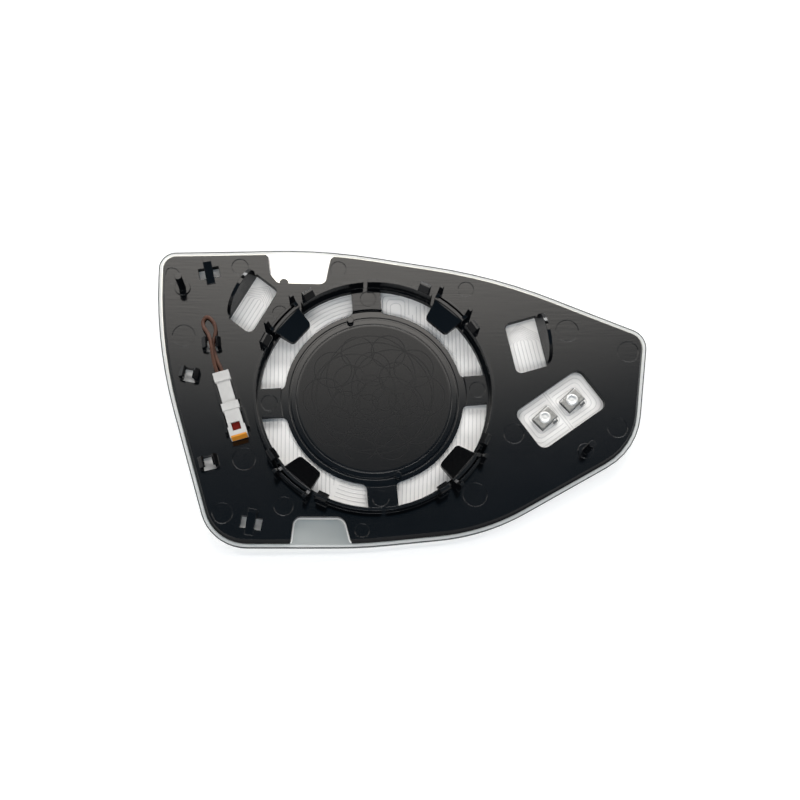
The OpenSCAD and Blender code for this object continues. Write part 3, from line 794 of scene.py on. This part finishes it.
def sloped_plate(mat):
    """The plate with its outer edge sloped, which shows the glass's rim beyond it from every side."""
    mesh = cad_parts["backing_plate"].data.copy()
    outline = outline_of("backing_plate")
    sides = [(a, b, inward_of(a, b)) for a, b in zip(outline, outline[1:] + outline[:1])]
    for vert in mesh.vertices:
        x, y, z = vert.co / MM
        if abs(z - crown(x, y) - PLATE_TOP) > FACE_SLACK:
            continue
        gap, inward = min((gap_beside(a, b, x, y), way) for a, b, way in sides)
        shift = EDGE_SLOPE * max(0.0, 1 - gap / SLOPE_REACH)
        px, py = x + shift * inward[0], y + shift * inward[1]
        vert.co = Vector((px, py, z + crown(px, py) - crown(x, y))) * MM
    plate = add_piece("backing_plate_skin", mesh, mat)
    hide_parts("backing_plate")


def rim_band(name, outline, start, end, mat):
    """Closed band along the glass's outline, between two distances inside it."""
    verts, faces = [], []
    count = len(outline)
    for i, (x, y) in enumerate(outline):
        inward = inward_of(outline[i - 1], outline[(i + 1) % count])
        for gap, up in ((start, -RIM_DEPTH), (start, RIM_RISE), (end, RIM_RISE), (end, -RIM_DEPTH)):
            px, py = x + gap * inward[0], y + gap * inward[1]
            verts.append((px * MM, py * MM, (GLASS_TOP + crown(px, py) + up) * MM))
    for i in range(count):
        at, on = 4 * i, 4 * ((i + 1) % count)
        faces += [(at + k, on + k, on + (k + 1) % 4, at + (k + 1) % 4) for k in range(4)]
    add_piece(name, new_mesh(name, verts, faces), mat)


def glass_rim():
    """The ground rim of the glass: a pale band on its face, and a dark line of painted shade round its edge.
    """
    outline = outline_of("mirror_glass")
    rim_band("glass_rim", outline, RIM_LINE_W, RIM_W, ground_rim())
    # The dark line round the glass's edge is painted shade, not a colour of the glass
    edge_shade = plain_plastic("painted_edge_shade", EDGE_SHADE_TONES, 0.5, 0.2)
    rim_band("glass_edge", outline, -RIM_OVERHANG, RIM_LINE_W, edge_shade)


def rivet_heads(mat):
    """Dished heads of the two rivets, turned from one profile."""
    sides = RIVET_SIDES
    for side, name in ((-1, "left"), (1, "right")):
        x, y = terminal_place(side)
        normal = Vector(((CROWN_MID[0] - x) / MIRROR_R, (CROWN_MID[1] - y) / MIRROR_R, 1)).normalized()
        lean = Vector((0, 0, 1)).rotation_difference(normal).to_matrix().to_4x4()
        place = Matrix.Translation((x, y, FOIL_TOP + true_rise(x, y))) @ lean
        verts = [place @ Vector((0, 0, RIVET_TOP + RIVET_PROFILE[0][1])) * MM]
        for r, z in RIVET_PROFILE[1:]:
            for k in range(sides):
                turn = 2 * math.pi * k / sides
                verts.append(place @ Vector((r * math.cos(turn), r * math.sin(turn), RIVET_TOP + z)) * MM)
        faces = [(0, 1 + k, 1 + (k + 1) % sides) for k in range(sides)]
        for ring in range(len(RIVET_PROFILE) - 2):
            at = 1 + ring * sides
            faces += [(at + k, at + sides + k, at + sides + (k + 1) % sides, at + (k + 1) % sides)
                      for k in range(sides)]
        faces.append(tuple(reversed(range(len(verts) - sides, len(verts)))))
        mesh = new_mesh("rivet_head_" + name, verts, faces)
        mesh.shade_smooth()
        head = add_piece("rivet_head_" + name, mesh, mat)
        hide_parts("terminal_rivet_" + name)


def curve_point(points, i, t):
    """Point of the smooth curve that the CAD wire follows too."""
    a, b = points[max(i - 1, 0)], points[i]
    c, d = points[i + 1], points[min(i + 2, len(points) - 1)]
    return 0.5 * (2 * b + (c - a) * t + (2 * a - 5 * b + 4 * c - d) * t ** 2
                  + (3 * b - a - 3 * c + d) * t ** 3)


def smooth_wire():
    """The jumper wire with round, evenly shaded skin in place of the plain CAD tube."""
    sides = WIRE_SIDES
    route = [Vector(p) for p in WIRE_ROUTE]
    path = [curve_point(route, i, k / WIRE_STEPS) for i in range(len(route) - 1) for k in range(WIRE_STEPS)]
    path.append(route[-1])
    place = connector_place()
    verts, faces = [], []
    for i, point in enumerate(path):
        ahead = (path[min(i + 1, len(path) - 1)] - path[max(i - 1, 0)]).normalized()
        across = ahead.cross(Vector((0, 0, 1))).normalized()
        over = across.cross(ahead)
        for k in range(sides):
            turn = 2 * math.pi * k / sides
            rim = point + WIRE_D / 2 * (math.cos(turn) * across + math.sin(turn) * over)
            verts.append(place @ rim * MM)
    for i in range(len(path) - 1):
        at = i * sides
        faces += [(at + k, at + (k + 1) % sides, at + sides + (k + 1) % sides, at + sides + k)
                  for k in range(sides)]
    last = (len(path) - 1) * sides
    faces += [tuple(reversed(range(sides))), tuple(last + k for k in range(sides))]
    mesh = new_mesh("jumper_wire_skin", verts, faces)
    mesh.shade_smooth()
    jacket = plain_plastic("wire_jacket", BROWN, 0.5, 0.3)
    wire = add_piece("jumper_wire_skin", mesh, jacket)
    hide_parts("jumper_wire")


def retainer_lip(mat):
    """The amber band where it folds over the upper edge of the connector's end."""
    place = connector_place()
    corners = [Vector((x, y, z)) for x in LIP_ALONG for y in (-LIP_HALF_W, LIP_HALF_W) for z in LIP_HEIGHT]
    faces = [(0, 1, 3, 2), (4, 6, 7, 5), (0, 4, 5, 1), (2, 3, 7, 6), (0, 2, 6, 4), (1, 5, 7, 3)]
    mesh = new_mesh("retainer_lip", [place @ c * MM for c in corners], faces)
    add_piece("retainer_lip", mesh, mat)


def dress_nodes():
    """Materials of the solids, and the pieces that share one with a solid."""
    sloped_plate(dress(black_plastic(), "backing_plate"))
    dress(mirror_coat(), "mirror_glass")
    dress(foil(), "heater_foil")
    dress(bare_metal("terminal_metal", TINNED, 0.3), "heater_terminal_left", "heater_terminal_right")
    rivet_heads(dress(bare_metal("rivet_metal", BRIGHT, 0.5), "terminal_rivet_left", "terminal_rivet_right"))
    dress(plain_plastic("white_plastic", WHITE, 0.38), "connector_housing")
    dress(bare_metal("contact_metal", BRASS, 0.3), "connector_contact_left", "connector_contact_right")
    dress(plain_plastic("red_plastic", RED, 0.5, 0.1), "connector_lock")
    retainer_lip(dress(plain_plastic("amber_plastic", AMBER, 0.4, 0.3), "connector_retainer"))


def make_floor():
    """Matt floor that takes the shadows near the object and turns an even white far from it."""
    half, low = FLOOR_HALF, CAD_BOX[0].z
    corners = [(-half, -half, low), (half, -half, low), (half, half, low), (-half, half, low)]
    mesh = new_mesh("floor", corners, [(0, 1, 2, 3)])
    obj = bpy.data.objects.new("floor", mesh)
    bpy.context.scene.collection.objects.link(obj)
    mat = bpy.data.materials.new("floor")
    mat.use_nodes = True
    nodes, links = mat.node_tree.nodes, mat.node_tree.links
    nodes.clear()
    out = nodes.new("ShaderNodeOutputMaterial")
    matt = nodes.new("ShaderNodeBsdfDiffuse")
    matt.inputs["Color"].default_value = (FLOOR_TONE, FLOOR_TONE, FLOOR_TONE, 1)
    glow = nodes.new("ShaderNodeEmission")
    add = nodes.new("ShaderNodeAddShader")
    path = nodes.new("ShaderNodeLightPath")
    mirrored = maths(nodes, links, "ADD", path.outputs["Is Glossy Ray"], path.outputs["Is Transmission Ray"])
    seen = maths(nodes, links, "ADD", path.outputs["Is Camera Ray"], mirrored)
    reach = vector_maths(nodes, links, "LENGTH", object_place(nodes))
    far = smooth_step(nodes, links, reach, *FLOOR_FADE)
    level = maths(nodes, links, "MULTIPLY_ADD", far, 1 - FLOOR_GLOW, FLOOR_GLOW)
    links.new(maths(nodes, links, "MULTIPLY", seen, level), glow.inputs["Strength"])
    links.new(matt.outputs[0], add.inputs[0])
    links.new(glow.outputs[0], add.inputs[1])
    links.new(add.outputs[0], out.inputs[0])
    mesh.materials.append(mat)


def make_world():
    """Pale walls, a dim ceiling and one wide bright window, which the glossy faces mirror."""
    world = bpy.data.worlds.new("world")
    bpy.context.scene.world = world
    world.use_nodes = True
    nodes, links = world.node_tree.nodes, world.node_tree.links
    nodes.clear()
    out = nodes.new("ShaderNodeOutputWorld")
    back = nodes.new("ShaderNodeBackground")
    coord = nodes.new("ShaderNodeTexCoord")
    across, along, up = axis_parts(nodes, links, coord.outputs["Generated"])
    lean = maths(nodes, links, "MULTIPLY_ADD", across, -WINDOW_SLANT, along)
    above = smooth_step(nodes, links, lean, WINDOW_EDGE - WINDOW_BLUR, WINDOW_EDGE + WINDOW_BLUR)
    below = smooth_step(nodes, links, lean, WINDOW_END + FAR_BLUR, WINDOW_END - FAR_BLUR)
    window = maths(nodes, links, "MULTIPLY", above, below)
    far = smooth_step(nodes, links, lean, WINDOW_END - FAR_BLUR, WINDOW_END + FAR_BLUR)
    ceiling = blend_tones(nodes, links, far, CEILING_TONE, FAR_TONE)
    room = blend_tones(nodes, links, window, ceiling, WINDOW_TONE)
    walls = smooth_step(nodes, links, up, WALL_TOP + WALL_BLUR, WALL_TOP - WALL_BLUR)
    links.new(blend_tones(nodes, links, walls, room, WALL_TONE), back.inputs["Color"])
    links.new(back.outputs[0], out.inputs[0])


def make_lights():
    """Long area lights that aim at the part's middle."""
    for name, place, size, power in LIGHTS:
        data = bpy.data.lights.new(name, "AREA")
        data.shape = "RECTANGLE"
        data.size, data.size_y = size
        data.energy = power
        obj = bpy.data.objects.new(name, data)
        bpy.context.scene.collection.objects.link(obj)
        obj.location = place
        obj.rotation_mode = "QUATERNION"
        obj.rotation_quaternion = (-Vector(place)).to_track_quat("-Z", "Y")


make_camera()
dress_nodes()
heater_tracks()
glass_rim()
smooth_wire()
make_floor()
make_world()
make_lights()

scene = bpy.context.scene
scene.view_settings.view_transform = "Standard"
